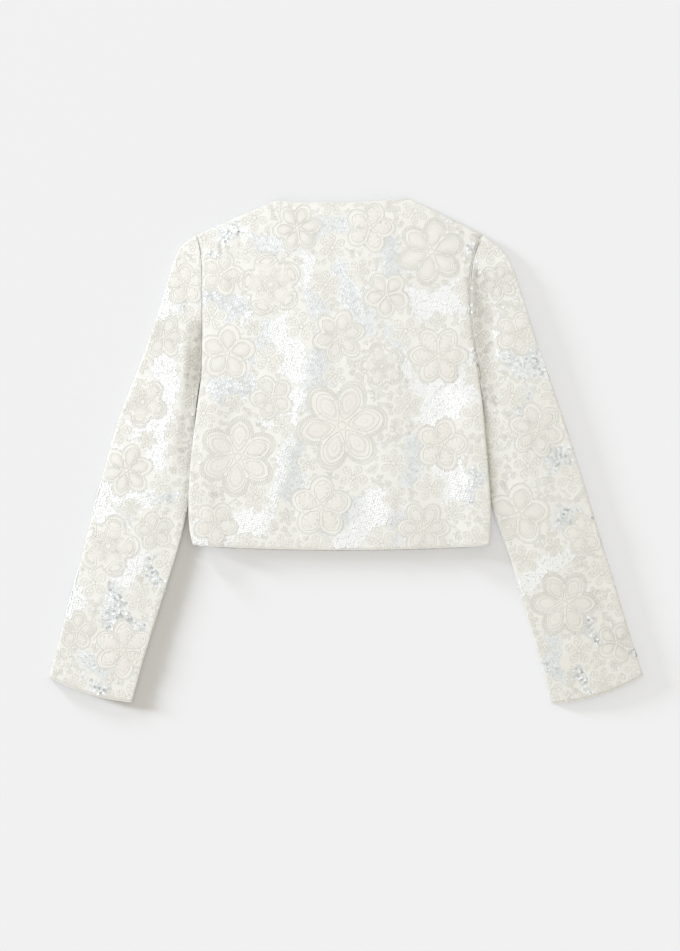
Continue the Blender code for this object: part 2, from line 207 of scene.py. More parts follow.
PETAL_NOTCH = 0.66  # radius between two petals over the radius at a petal's tip

# Creases pressed in where the jacket was laid down: a ridge, or with a negative rise a trough
Crease = namedtuple("Crease", "x0 y0 x1 y1 half_width rise")
BACK_CREASES = (
    Crease(-183, 418, -178, 380, 4.5, -1.3),
    Crease(-172, 424, -166, 396, 5, 1.1),
    Crease(-160, 426, -158, 386, 4.5, -1.0),
    Crease(-136, 436, -132, 398, 4.5, -1.4),
    Crease(-124, 440, -118, 412, 5, 0.9),
    Crease(-176, 346, -150, 318, 6, -0.9),
    Crease(-170, 300, -128, 292, 7, 0.8),
    Crease(-178, 240, -136, 226, 6, -0.8),
    Crease(168, 404, 160, 362, 6, -0.9),
    Crease(166, 330, 148, 214, 8, 0.8),
    Crease(170, 236, 132, 206, 6, -0.7),
    Crease(-36, 318, -22, 240, 8, -0.8),
    Crease(26, 398, 34, 300, 9, 0.8),
    Crease(-104, 168, -88, 90, 8, -0.9),
    Crease(-62, 96, -44, 8, 8, 0.8),
    Crease(84, 128, 78, 10, 9, -0.8),
    Crease(150, 116, 168, 20, 8, 0.7),
    Crease(4, 96, 16, 12, 8, -0.7),
)
LEFT_SLEEVE_CREASES = (
    Crease(-197, 300, -203, 206, 9, -1.6),
    Crease(-203, 206, -216, 104, 11, -1.8),
    Crease(-216, 104, -232, 30, 11, -1.2),
    Crease(-236, 330, -214, 306, 6, -0.9),
    Crease(-258, 258, -220, 226, 7, 0.9),
    Crease(-292, 152, -240, 140, 8, -0.9),
    Crease(-262, 68, -306, 58, 8, 0.8),
    Crease(-340, -8, -298, -26, 7, -0.8),
    Crease(-362, -66, -300, -78, 8, 0.8),
    Crease(-284, -104, -330, -92, 7, -0.9),
    Crease(-374, -140, -330, -150, 6, 0.7),
    Crease(-306, -188, -316, -140, 6, -0.8),
)
RIGHT_SLEEVE_CREASES = (
    Crease(186, 396, 183, 300, 6, -1.5),
    Crease(184, 300, 198, 180, 8, -1.5),
    Crease(204, 168, 214, 64, 8, -1.2),
    Crease(206, 372, 222, 320, 7, 0.8),
    Crease(250, 262, 216, 230, 8, -0.8),
    Crease(298, 152, 246, 108, 8, 0.8),
    Crease(282, 84, 330, 70, 8, -0.9),
    Crease(250, 14, 302, -6, 8, 0.8),
    Crease(352, -30, 316, -58, 7, -0.8),
    Crease(276, -112, 330, -122, 8, -0.8),
    Crease(388, -138, 372, -178, 6, 0.9),
    Crease(330, -190, 326, -146, 6, -0.9),
    Crease(352, -184, 348, -150, 5, 0.8),
)
# On the hidden sides a crease can only lift the cloth off the table
UNDERSIDE_CREASES = (
    Crease(-150, 380, -110, 250, 9, 0.6),
    Crease(-120, 190, -60, 60, 10, 0.5),
    Crease(60, 360, 96, 214, 9, 0.6),
    Crease(150, 150, 108, 40, 10, 0.5),
    Crease(-226, 320, -264, 214, 8, 0.5),
    Crease(-280, 120, -304, 20, 8, 0.5),
    Crease(-334, -60, -316, -150, 8, 0.5),
    Crease(224, 330, 262, 226, 8, 0.5),
    Crease(286, 110, 300, 10, 8, 0.5),
    Crease(322, -50, 342, -148, 8, 0.5),
)

# Where sequins are sewn: round-ended bands between two points. Tone stands for how the folds turn them to the light
# (above zero) or away from it:
# it tilts them a little and paints them paler above zero, a painted highlight, and greyer below, a painted shade.
# Scatter is how unevenly they lie
Patch = namedtuple("Patch", "x0 y0 x1 y1 half_width tone scatter")
PATCHES = (
    Patch(-78, 292, -62, 240, 17, 1.0, 0.0),
    Patch(-90, 176, -62, 198, 14, 1.0, 0.0),
    Patch(-62, 198, -66, 140, 8, 0.8, 0.1),
    Patch(-66, 140, -94, 60, 8, 0.7, 0.1),
    Patch(112, 324, 158, 334, 19, 1.0, 0.0),
    Patch(172, 300, 176, 232, 8, 0.8, 0.1),
    Patch(110, 206, 162, 214, 19, 1.0, 0.0),
    Patch(114, 178, 158, 186, 15, 1.0, 0.0),
    Patch(138, 120, 152, 78, 20, 1.0, 0.0),
    Patch(-180, 14, -112, 36, 17, 1.0, 0.0),
    Patch(60, 62, 30, 48, 16, 1.0, 0.0),
    Patch(42, 36, 8, 8, 16, 0.9, 0.0),
    Patch(-46, 392, -42, 366, 7, 0.8, 0.1),
    Patch(78, 346, 96, 338, 8, 0.7, 0.1),
    Patch(84, 262, 92, 232, 8, 0.7, 0.1),
    Patch(-166, 422, -126, 432, 11, 0.4, 0.9),
    Patch(-180, 404, -172, 392, 6, -0.6, 0.9),
    Patch(-172, 336, -146, 322, 17, -1.0, 0.1),
    Patch(-164, 214, -122, 212, 17, -1.0, 0.1),
    Patch(-120, 330, -124, 296, 7, -0.2, 0.4),
    Patch(-98, 300, -114, 252, 10, -0.9, 0.0),
    Patch(-38, 344, -28, 300, 11, -0.8, 0.0),
    Patch(-26, 264, -34, 204, 17, -1.0, 0.0),
    Patch(2, 372, 16, 330, 16, -0.9, 0.05),
    Patch(30, 318, 42, 290, 10, -0.7, 0.0),
    Patch(-114, 408, -60, 408, 12, -0.8, 0.1),
    Patch(-48, 420, -4, 440, 16, -0.9, 0.05),
    Patch(66, 412, 70, 364, 13, -1.0, 0.0),
    Patch(-58, 148, -64, 66, 13, -1.0, 0.0),
    Patch(18, 58, -24, 14, 13, -1.0, 0.0),
    Patch(102, 140, 92, 90, 12, -0.9, 0.0),
    Patch(74, 46, 76, 8, 10, -0.9, 0.0),
    Patch(182, 104, 176, 64, 10, -0.9, 0.3),
    Patch(72, 294, 80, 240, 9, -0.7, 0.0),
    Patch(178, 392, 184, 414, 7, -0.6, 0.8),
    Patch(-228, 346, -246, 304, 13, 1.0, 0.0),
    Patch(-230, 264, -240, 170, 15, 1.0, 0.0),
    Patch(-242, 170, -246, 112, 11, 1.0, 0.0),
    Patch(-284, 158, -256, 156, 9, 0.8, 0.1),
    Patch(-304, 132, -318, 76, 10, 0.8, 0.1),
    Patch(-296, 68, -258, 66, 12, 0.8, 0.1),
    Patch(-332, 64, -318, 44, 13, 1.0, 0.1),
    Patch(-272, -12, -288, -46, 11, 1.0, 0.0),
    Patch(-354, -48, -366, -108, 13, 1.0, 0.15),
    Patch(-246, 68, -216, 66, 10, -1.0, 0.2),
    Patch(-292, 50, -290, 36, 6, -1.0, 0.1),
    Patch(-252, -22, -240, -44, 11, -1.0, 0.7),
    Patch(-308, -62, -300, -110, 12, -1.0, 0.5),
    Patch(-300, -118, -270, -128, 11, -0.9, 0.1),
    Patch(-284, -98, -264, -108, 8, -0.6, 0.8),
    Patch(-216, 334, -204, 318, 9, -0.8, 0.2),
    Patch(-342, -150, -320, -162, 10, -0.8, 0.2),
    Patch(-344, -182, -322, -190, 7, -0.6, 0.9),
    Patch(248, -54, 298, -8, 12, 1.0, 0.1),
    Patch(214, 282, 218, 260, 6, 0.9, 0.3),
    Patch(326, -194, 358, -186, 5, 0.6, 0.5),
    Patch(218, 262, 256, 240, 11, -0.4, 0.5),
    Patch(256, 260, 274, 230, 8, -0.5, 0.8),
    Patch(254, 148, 290, 118, 15, -1.0, 0.6),
    Patch(244, 204, 252, 170, 10, -0.7, 0.3),
    Patch(304, 132, 312, 106, 8, -0.5, 0.6),
    Patch(302, 42, 340, 18, 15, -0.9, 0.5),
    Patch(314, -52, 330, -102, 13, -1.0, 0.7),
    Patch(334, -112, 342, -126, 7, -1.0, 0.8),
    Patch(322, -174, 336, -188, 9, -0.8, 0.9),
    Patch(358, -120, 394, -142, 9, -0.4, 0.5),
    Patch(282, -128, 290, -172, 12, -0.8, 0.2),
)

# Painted shade: valleys where a sleeve dips under the body's side edge, darkened in the colour of the sleeves' pieces
Valley = namedtuple("Valley", "x0 y0 x1 y1 half_width shade")
VALLEYS = (
    Valley(-188, 292, -195, 222, 22, 0.75),
    Valley(-195, 222, -205, 110, 20, 0.42),
    Valley(-205, 110, -207, 40, 16, 0.32),
    Valley(180, 366, 188, 296, 19, 0.50),
    Valley(188, 296, 197, 200, 19, 0.42),
    Valley(197, 200, 202, 110, 16, 0.28),
    Valley(202, 110, 208, 10, 22, 0.28),
)

# Cloth
WELD = 1e-6
SHARP = math.radians(50)  # an edge turned more than this bounds the cloth's outer face
CUTS = 2
SMOOTHING = 8
SHELL = 1.0
UNDERARM = 225.0
BODY_SIDE = 170.0  # the body's side edges lie further out than this
NECK_ABOVE = 455.0
NECK_ENDS = (-89.5, 94.0)
HEM_BELOW = 2.5
GROOVE_DEPTH = 2.4
GROOVE_WIDTH = 5.0
SLEEVE_GROOVE_WIDTH = {"left": 6.0, "right": 11.0}
DROP_FROM = 0.05  # height in metres from which the cloth is felt for

# Cords and satin stitch; a cord's size is its radius
CORD = 0.56
FINE_CORD = 0.44
CORD_RISE = 0.5  # how far a cord's middle lies above the cloth, over its radius
BINDING = 0.95
BINDING_SINK = 0.45
HALO = 1.6  # plain cloth round each flower
SLENDER_LOOPS = 15
LOOP_POINTS = 7
BANDED_FROM = 45.0  # a larger flower has one more ring of loops
SMALL_RADII = (20, 16, 13)
SMALL_GRID = 7.0
SMALL_GAP = 9.0
WANDER_PITCH = 7.0
WANDER_JITTER = 2.5
WANDER_STEP = 1.8
WANDER_POINTS = 15
WANDER_SWING = 1.9  # how far a wandering cord turns to each side, in radians
WANDER_BEND = 15.0  # length in which it turns there and back
SATIN_BASE = 0.06
SATIN_DOME = 0.35
SATIN_PETAL = (0.20, 0.80, 0.84)  # its two ends and its width, in shares of the petal's

# Sequins
SEQUIN_PITCH = 3.7
SEQUIN_RADIUS = 2.1
SEQUIN_RISE = 0.62
SEQUIN_CUP = 0.16  # depth of its dish, over its radius
SEQUIN_SIDES = 8
SEQUIN_RIM = 0.68  # width of the disc round its hole, over its radius
STRAY_SEQUINS = 0.05  # share that lies outside the patches
TO_LIGHT = (-0.62, 0.78)


def smooth(t):
    """0 to 1 with level ends, for t from 0 to 1."""
    t = np.clip(t, 0, 1)
    return t * t * (3 - 2 * t)


def in_drawing(points):
    """Plan points of the drawing, in millimetres, for points of the frame."""
    return np.asarray(points)[..., :2] / MM + ORIGIN


def inside_of(points, flowers):
    """How far inside the nearest flower's outline each plan point is, negative outside."""
    inside = np.full(points.shape[:-1], -99.0)
    for flower in flowers:
        dx, dy = points[..., 0] - flower.x, points[..., 1] - flower.y
        angle = np.arctan2(dy, dx) - math.radians(flower.turn)
        inside = np.maximum(inside, outline(flower, angle) - np.hypot(dx, dy))
    return inside


def outline(flower, angle):
    """A flower's radius at an angle from its first petal."""
    petal = np.abs(np.cos(flower.petals * angle / 2))
    return flower.radius * (PETAL_NOTCH + (1 - PETAL_NOTCH) * petal)


def along_and_off(points, row):
    """For a straight row of a table, each point's share of the way along it and its distance from it."""
    start, end = np.array(row[:2], float), np.array(row[2:4], float)
    step = end - start
    share = np.clip(((points - start) @ step) / (step @ step), 0, 1)
    return share, np.linalg.norm(points - start - share[..., None] * step, axis=-1)


def crease_rise(points, creases):
    """Height that the creases add; each fades toward both its ends."""
    rise = np.zeros(points.shape[:-1])
    for crease in creases:
        share, gap = along_and_off(points, crease)
        fade = np.sin(math.pi * np.clip(share, 0.08, 0.92)) ** 0.6
        rise += crease.rise * fade * (1 - smooth(gap / crease.half_width))
    return rise


def painted_valley_shade_at(points):
    """How much painted shade the sleeves' colour takes where the body's side edges would keep light from them."""
    shade = np.zeros(points.shape[:-1])
    for valley_shade in VALLEYS:
        gap = along_and_off(points, valley_shade)[1]
        shade = np.maximum(shade, valley_shade.shade * np.clip(1 - gap / valley_shade.half_width, 0, 1))
    return shade


def sequins_at(points):
    """How far plan points lie inside the patches of sequins (0 to 1), their tone (painted highlight above zero,
    painted shade below it) and their scatter.
    The patches' edges wave."""
    across = points[..., ::-1]
    warped = points + 4 * np.sin(across / 9) + 2 * np.sin(across / 3.7)
    cover, tone, scatter = (np.zeros(points.shape[:-1]) for _ in range(3))
    for patch in PATCHES:
        gap = along_and_off(warped, patch)[1]
        share = smooth(1.6 - gap / patch.half_width)
        cover = np.maximum(cover, share)
        tone += patch.tone * share
        scatter = np.maximum(scatter, patch.scatter * share)
    return cover, np.clip(tone, -1, 1), scatter


# Shader nodes from Python expressions
class Socket:
    """A node's output. Operators on it add Math nodes."""

    def __init__(self, finish, link):
        self.finish = finish
        self.link = link

    def math(self, operation, *others):
        values = dict(enumerate((self, *others)))
        return self.finish.node("ShaderNodeMath", {"operation": operation}, values)

    def __add__(self, other):
        return self.math("ADD", other)

    __radd__ = __add__

    def __sub__(self, other):
        return self.math("SUBTRACT", other)

    def __rsub__(self, other):
        return self.finish.node("ShaderNodeMath", {"operation": "SUBTRACT"}, {0: other, 1: self})

    def __mul__(self, other):
        return self.math("MULTIPLY", other)

    __rmul__ = __mul__

    def between(self, low, high):
        """0 below low, 1 above high, and smooth between them."""
        sockets = {"Value": self, "From Min": low, "From Max": high}
        return self.finish.node("ShaderNodeMapRange", {"interpolation_type": "SMOOTHSTEP"}, sockets)


class Finish:
    """One material and its nodes."""

    def __init__(self, name):
        self.material = bpy.data.materials.new(name)
        self.material.use_nodes = True
        self.tree = self.material.node_tree
        self.tree.nodes.clear()

    def node(self, kind, settings, sockets, output=0):
        made = self.tree.nodes.new(kind)
        for key, value in settings.items():
            setattr(made, key, value)
        for key, value in sockets.items():
            if isinstance(value, Socket):
                self.tree.links.new(value.link, made.inputs[key])
            else:
                made.inputs[key].default_value = value
        return Socket(self, made.outputs[output])

    def place(self, stretch=(1, 1, 1)):
        """The piece's own coordinates in millimetres."""
        coordinates = self.node("ShaderNodeTexCoord", {}, {}, "Object")
        scale = tuple(axis / MM for axis in stretch)
        return self.node("ShaderNodeMapping", {}, {"Vector": coordinates, "Scale": scale})

    def attribute(self, name):
        return self.node("ShaderNodeAttribute", {"attribute_name": name}, {}, "Fac")

    def noise(self, size, detail=2.0, stretch=(1, 1, 1)):
        """Noise whose lumps are about this many millimetres wide."""
        sockets = {"Vector": self.place(stretch), "Scale": 1 / size, "Detail": detail}
        return self.node("ShaderNodeTexNoise", {}, sockets)

    def cells(self, size, feature="F1", output="Distance", randomness=1.0):
        sockets = {"Vector": self.place((1, 1, 0)), "Scale": 1 / size, "Randomness": randomness}
        return self.node("ShaderNodeTexVoronoi", {"feature": feature}, sockets, output)

    def blend(self, factor, first, second):
        """The first colour where the factor is 0, and the second where it is 1."""
        sockets = {0: factor, 6: opaque(first), 7: opaque(second)}
        return self.node("ShaderNodeMix", {"data_type": "RGBA"}, sockets, 2)

    def bump(self, height, depth):
        """A surface raised by height times depth, in millimetres."""
        sockets = {"Height": height, "Distance": depth * MM, "Strength": 1.0}
        return self.node("ShaderNodeBump", {}, sockets)

    def with_painted_valley_shade(self, colour):
        """A colour with painted shade: darker in the valleys between the body and the sleeves."""
        return self.blend(self.attribute("valley_shade"), colour, VALLEY_SHADE_COLOUR)

    def surface(self, **sockets):
        named = {key.replace("_", " "): value for key, value in sockets.items()}
        shader = self.node("ShaderNodeBsdfPrincipled", {}, named)
        end = self.tree.nodes.new("ShaderNodeOutputMaterial")
        self.tree.links.new(shader.link, end.inputs["Surface"])
        return self.material


def opaque(colour):
    return colour if isinstance(colour, Socket) else (*colour, 1.0)


IVORY = (0.79, 0.778, 0.735)
WARM_IVORY = (0.80, 0.762, 0.712)
PALE_IVORY = (0.825, 0.82, 0.782)
NET = (0.86, 0.86, 0.84)
# NET_SHADE is painted shade in the net's holes between its threads
NET_SHADE = (0.82, 0.82, 0.80)
# PEARL and BLUE_GREY: on the sequins the blend between them by the patches' tone is painted highlight and painted
# shade; on the printed underside it is a random tone
PEARL = (0.92, 0.925, 0.923)
BLUE_GREY = (0.825, 0.848, 0.855)
# Painted shade for the darkest sequins, most of them in the shaded patches and some by chance
SEQUIN_DEEP_SHADE = (0.50, 0.52, 0.53)
# Colour of the painted shade in the valleys beside the body's side edges
VALLEY_SHADE_COLOUR = (0.40, 0.38, 0.32)


def cloth_finish(name):
    """Satin-faced ivory cloth, and fine net under the sequins. Where `printed` is 1, on the sides that face
    the table, it also holds the cords and sequins, which are separate pieces on the other side."""
    finish = Finish(name)
    inside = finish.attribute("inside")
    printed = finish.attribute("printed")
    flower = inside.between(-0.6 - HALO, 0.6 - HALO)
    mottle = finish.noise(26.0, 3.0)
    satin = finish.noise(1.3, 2.0, (1, 0.35, 1))
    net = finish.cells(1.25, "DISTANCE_TO_EDGE")
    thread = 1 - net.between(0.03, 0.16)
    ivory = finish.blend(mottle.between(0.35, 0.65), IVORY, PALE_IVORY)
    # Painted shade: the net's holes, between its raised threads, darker
    mesh = finish.blend(thread, NET_SHADE, NET)
    heart = finish.blend(inside.between(4.0, 26.0) * 0.7, ivory, WARM_IVORY)
    open_net = finish.attribute("sequinned") * (1 - flower)
    plain = finish.blend(open_net, heart, mesh)
    disc = finish.cells(3.4, randomness=0.25)
    spread = 1 - disc.between(0.42, 0.5)
    sequin = printed * open_net * spread
    loops = 1 - finish.cells(7.0, "DISTANCE_TO_EDGE").between(0.04, 0.13)
    rim = inside.math("ABSOLUTE")
    cord = printed * ((1 - open_net) * loops).math("MAXIMUM", 1 - rim.between(0.3, 0.9))
    tone = finish.cells(3.4, output="Color", randomness=0.25)
    pearl = finish.blend(tone, BLUE_GREY, PEARL)
    colour = finish.blend(sequin * 0.9, plain, pearl)
    weave = satin * 0.12 * (1 - open_net) + thread * 0.25 * open_net
    height = weave + cord * 0.9 + sequin * (1 - disc) * 0.5
    return finish.surface(
        Base_Color=finish.with_painted_valley_shade(colour),
        Roughness=0.74 - 0.4 * sequin,
        Normal=finish.bump(height, 0.8),
        Sheen_Weight=0.12,
        Sheen_Roughness=0.5,
    )


def cord_finish():
    finish = Finish("corded_thread")
    mottle = finish.noise(18.0, 2.0)
    twist = finish.noise(0.9, 1.0, (1, 0.5, 1))
    colour = finish.blend(mottle.between(0.35, 0.65), IVORY, PALE_IVORY)
    return finish.surface(
        Base_Color=finish.with_painted_valley_shade(finish.blend(twist.between(0.55, 0.75) * 0.25, colour, WARM_IVORY)),
        Roughness=0.55 + 0.2 * twist,
        Normal=finish.bump(twist, 0.25),
        Sheen_Weight=0.15,
    )


def satin_finish():
    """Satin stitch, its threads lying across each petal."""
    finish = Finish("satin_stitch")
    along = finish.attribute("thread")
    warm = finish.attribute("warm")
    wobble = finish.noise(5.0, 2.0)
    threads = ((along * 6.5 + wobble * 3).math("SINE") + 1) * 0.5
    colour = finish.blend(warm, PALE_IVORY, WARM_IVORY)
    return finish.surface(
        # Painted shade: the satin's colour darker in the troughs between its threads
        Base_Color=finish.with_painted_valley_shade(finish.blend((1 - threads) * 0.10, colour, (0.74, 0.71, 0.66))),
        Roughness=0.5 + 0.2 * wobble,
        Normal=finish.bump(threads, 0.08),
        Sheen_Weight=0.2,
    )


def sequin_finish():
    """Pearly sequins, each with its own tone: partly random, and partly painted highlight and painted shade from the
    patch it lies in.
    """
    finish = Finish("pearly_sequins")
    tone = finish.attribute("tone")
    grain = finish.noise(2.5, 2.0)
    tone_with_painted_light = finish.blend(tone.between(-1.0, 1.0), BLUE_GREY, PEARL)
    return finish.surface(
        Base_Color=finish.with_painted_valley_shade(finish.blend((-0.8 - tone) * 0.6, tone_with_painted_light, SEQUIN_DEEP_SHADE)),
        Roughness=0.24 + 0.2 * grain,
        Metallic=0.12,
        Coat_Weight=0.25,
        Coat_Roughness=0.2,
    )


# Cloth shells
def outer_shell(node, from_top):
    """The outer face of a cloth solid alone: what is reached from it without crossing a sharp edge."""
    bm = bmesh.new()
    bm.from_mesh(frame["nodes"][node].data)
    bmesh.ops.remove_doubles(bm, verts=bm.verts, dist=WELD)
    bm.faces.ensure_lookup_table()
    heights = [face.calc_center_median().z * (1 if from_top else -1) for face in bm.faces]
    start = bm.faces[int(np.argmax(heights))]
    reached, edge_of_search = {start}, [start]
    while edge_of_search:
        for edge in edge_of_search.pop().edges:
            if edge.is_manifold and edge.calc_face_angle() < SHARP:
                fresh = [face for face in edge.link_faces if face not in reached]
                reached.update(fresh)
                edge_of_search += fresh
    bmesh.ops.delete(bm, geom=[face for face in bm.faces if face not in reached], context="FACES")
    return bm


def refined(bm):
    """Smaller faces, with the flats between the solid's points smoothed out."""
    bmesh.ops.join_triangles(
        bm, faces=bm.faces, angle_face_threshold=math.radians(30), angle_shape_threshold=math.radians(60)
    )
    bmesh.ops.subdivide_edges(bm, edges=bm.edges, cuts=CUTS, use_grid_fill=True)
    free = [vert for vert in bm.verts if not vert.is_boundary]
    for _ in range(SMOOTHING):
        bmesh.ops.smooth_vert(bm, verts=free, factor=0.5, use_axis_x=True, use_axis_y=True, use_axis_z=True)
    bm.normal_update()
    return bm


def creased(bm, creases, grooves):
    """Presses the creases and the seams' grooves into the upper side, and the hidden creases into the side
    on the table. Each groove is (path, width, depth), deepest along its path."""
    points = np.array([vert.co for vert in bm.verts])
    up = np.array([vert.normal.z for vert in bm.verts])
    plan = in_drawing(points)
    rise = crease_rise(plan, creases)
    for path, width, depth in grooves:
        gap = np.min(np.linalg.norm(plan[:, None] - path, axis=-1), axis=1)
        rise -= depth * (1 - np.sqrt(1 - (1 - np.clip(gap / width, 0, 1)) ** 2))
    rise = rise * smooth(2 * up) + crease_rise(plan, UNDERSIDE_CREASES) * smooth(-up)
    for vert, dz in zip(bm.verts, rise):
        vert.co.z += float(dz) * MM
    bm.normal_update()


def border_loops(bm):
    """Each open border of a sheet, as its points in order."""
    left = dict.fromkeys(edge for edge in bm.edges if edge.is_boundary)
    loops = []
    while left:
        edge = next(iter(left))
        del left[edge]
        first, tip = edge.verts
        loop = [first]
        while tip is not first:
            loop.append(tip)
            edge = next(edge for edge in tip.link_edges if edge in left)
            del left[edge]
            tip = edge.other_vert(tip)
        loops.append(np.array([vert.co for vert in loop]))
    return loops


def add_piece(name, mesh, material, slot):
    """An object for a mesh, with its finish, riding on the jacket's one body."""
    points = np.empty(len(mesh.vertices) * 3, np.float32)
    mesh.vertices.foreach_get("co", points)
    plan = in_drawing(points.reshape(-1, 3))
    # Painted shade: the sleeves' pieces darken where the body's side edge would shade them
    set_attribute(mesh, "valley_shade", painted_valley_shade_at(plan) if "sleeve" in name else np.zeros(len(plan)))
    mesh.materials.clear()
    mesh.materials.append(material)
    mesh.shade_smooth()
    piece = bpy.data.objects.new(name, mesh)
    bpy.context.scene.collection.objects.link(piece)
    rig.ride(piece, "root")
    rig.slot(piece, slot)
    return piece


def set_attribute(mesh, name, values):
    attribute = mesh.attributes.new(name, "FLOAT", "POINT")
    attribute.data.foreach_set("value", np.ascontiguousarray(values, np.float32))


def cloth_piece(name, bm, flowers, material, slot):
    """The finished shell of one panel."""
    mesh = bpy.data.meshes.new(name)
    bm.to_mesh(mesh)
    points = np.array([vert.co for vert in bm.verts])
    up = np.array([vert.normal.z for vert in bm.verts])
    set_attribute(mesh, "inside", np.clip(inside_of(in_drawing(points), flowers), -20, 20))
    set_attribute(mesh, "sequinned", sequins_at(in_drawing(points))[0])
    set_attribute(mesh, "printed", smooth(-3 * up))
    piece = add_piece(name, mesh, material, slot)
    wall = piece.modifiers.new("wall", "SOLIDIFY")
    wall.thickness = SHELL * MM
    wall.offset = -1
    return piece


class Surface:
    """The upper side of a panel, on which cords and sequins are sewn where no other panel covers it."""

    def __init__(self, bm, covers=()):
        self.tree = BVHTree.FromBMesh(bm)
        self.covers = covers

    def under(self, point):
        """The place and the normal of the cloth at a plan point, or None."""
        x, y = (np.asarray(point) - ORIGIN) * MM
        above = Vector((x, y, DROP_FROM))
        place, normal, _, _ = self.tree.ray_cast(above, Vector((0, 0, -1)))
        if place is None or normal.z < 0.3:
            return None
        for cover in self.covers:
            hit = cover.ray_cast(above, Vector((0, 0, -1)))[0]
            if hit is not None and hit.z > place.z:
                return None
        return place, normal

    def laid(self, path, rise):
        """The runs of a plan path that lie on the cloth, raised along its normal."""
        runs, run = [], []
        for point in path:
            found = self.under(point)
            if found:
                run.append(found[0] + found[1] * (rise * MM))
            elif run:
                runs.append(run)
                run = []
        runs.append(run)
        return [np.array(run) for run in runs if len(run) > 2]

    def sewn(self, paths):
        """(run, thickness) of cords laid along (path, thickness)."""
        return [(run, radius) for path, radius in paths for run in self.laid(path, radius * CORD_RISE)]


# Embroidery
def turned(flower, along, across, angle):
    """Plan points at these distances along and across an axis from a flower's centre."""
    a = math.radians(flower.turn) + angle
    x = flower.x + np.cos(a) * along - np.sin(a) * across
    y = flower.y + np.sin(a) * along + np.cos(a) * across
    return np.stack([x, y], axis=-1)


def closed_shares(length, step):
    """Shares round a closed path, about one each step."""
    return np.linspace(0, 1, max(8, round(length / step)) + 1)


def petal_half_width(flower, share):
    """Half the width of a petal at a share of its length, egg-shaped and widest toward its tip."""
    widest = 0.43 * flower.radius * math.sin(math.pi / flower.petals) * 1.25
    return widest * np.sin(math.pi * share) ** 0.7 * (0.62 + 0.5 * share)


def petal_path(flower, angle, low, high, slim, step=2.2):
    """A closed egg-shaped loop between two radii, in shares of the flower's."""
    length = (high - low) * flower.radius
    turn = 2 * math.pi * closed_shares(2.4 * length, step)
    share = (1 - np.cos(turn)) / 2
    across = slim * petal_half_width(flower, share) * np.sign(np.sin(turn))
    return turned(flower, low * flower.radius + share * length, across, angle)


def wave_path(flower, angle, low, high, slim, pitch=3.0):
    """A cord that winds from side to side up a petal."""
    length = (high - low) * flower.radius
    rows = max(3, round(length / pitch))
    share = np.linspace(0.02, 0.98, rows * 5 + 1)
    across = np.sin(math.pi * rows * share) * slim * petal_half_width(flower, share)
    return turned(flower, low * flower.radius + share * length, across, angle)


def looped_path(path, loop, pitch):
    """Small loops that run along a path."""
    steps = np.linalg.norm(np.diff(path, axis=0), axis=1)
    run = np.concatenate([[0], np.cumsum(steps)])
    count = max(2, int(run[-1] / pitch))
    at = np.linspace(0, run[-1], count * LOOP_POINTS + 1)
    point = np.stack([np.interp(at, run, path[:, i]) for i in range(2)], axis=-1)
    turn = 2 * math.pi * at * count / run[-1]
    return point + loop * np.stack([np.cos(turn), np.sin(turn)], axis=-1)


def ring_path(flower, share, step=1.8):
    turn = 2 * math.pi * closed_shares(2 * math.pi * share * flower.radius, step)
    return turned(flower, share * flower.radius * np.cos(turn), share * flower.radius * np.sin(turn), 0.0)


def edge_path(flower, inset, scallop):
    """A line inside a flower's outline, waved into small scallops."""
    reach = 2 * math.pi * flower.radius * 0.95
    turn = 2 * math.pi * closed_shares(reach, 1.5)
    waves = flower.petals * max(1, round(reach / flower.petals / 7))
    wave = scallop * np.abs(np.sin(waves * turn / 2))
    radius = outline(flower, turn) - inset + wave
    return turned(flower, radius * np.cos(turn), radius * np.sin(turn), 0.0)


def hand_placed(flower, rng):
    """Each petal's own copy of the flower, a little turned and stretched as by hand, and its angle."""
    for k in range(flower.petals):
        turn = flower.turn + rng.uniform(-4, 4)
        radius = flower.radius * rng.uniform(0.93, 1.03)
        yield flower._replace(turn=turn, radius=radius), 2 * math.pi * k / flower.petals


def petal_fill(petal, angle, fill):
    """(path, thickness) of the cords that fill one petal."""
    if fill == "waves":
        return [(wave_path(petal, angle, 0.22, 0.80, 0.76), FINE_CORD)]
    if fill == "arcs":
        insets = (0, 0.08, 0.16, 0.23)
        return [(petal_path(petal, angle, 0.20 + t, 0.81 - t, 0.80 - 2.2 * t), FINE_CORD) for t in insets]
    ring = petal_path(petal, angle, 0.26, 0.76, 0.66)
    return [
        (looped_path(ring, 1.5, 3.2), FINE_CORD),
        (looped_path(petal_path(petal, angle, 0.40, 0.62, 0.24), 1.2, 2.8), FINE_CORD),
    ]


def large_flower_cords(flower, rng):
    """(path, thickness) of each cord of a large flower."""
    edge = looped_path(edge_path(flower, 0.8, 0.8), 1.1, 2.9)
    cords = [(ring_path(flower, 0.09), CORD), (edge, FINE_CORD)]
    if flower.fill == "fan":
        slender = flower._replace(petals=SLENDER_LOOPS)
        for own, angle in hand_placed(slender, rng):
            cords.append((petal_path(own, angle, 0.13, 0.58, 1.0), FINE_CORD))
            cords.append((petal_path(own, angle, 0.24, 0.50, 0.4), FINE_CORD))
        for own, angle in hand_placed(flower, rng):
            cords.append((petal_path(own, angle, 0.52, 0.92, 1.25), CORD))
            cords.append((looped_path(petal_path(own, angle, 0.60, 0.85, 0.8), 1.3, 2.9), FINE_CORD))
        return cords
    for own, angle in hand_placed(flower, rng):
        cords.append((petal_path(own, angle, 0.14, 0.88, 1.0), CORD))
        cords += petal_fill(own, angle, flower.fill)
        if flower.radius > 33:
            cords.append((petal_path(own, angle + math.pi / flower.petals, 0.34, 0.60, 0.42), FINE_CORD))
    if flower.radius > BANDED_FROM:
        cords.append((looped_path(edge_path(flower, 0.075 * flower.radius, 0), 1.4, 3.1), FINE_CORD))
    return cords


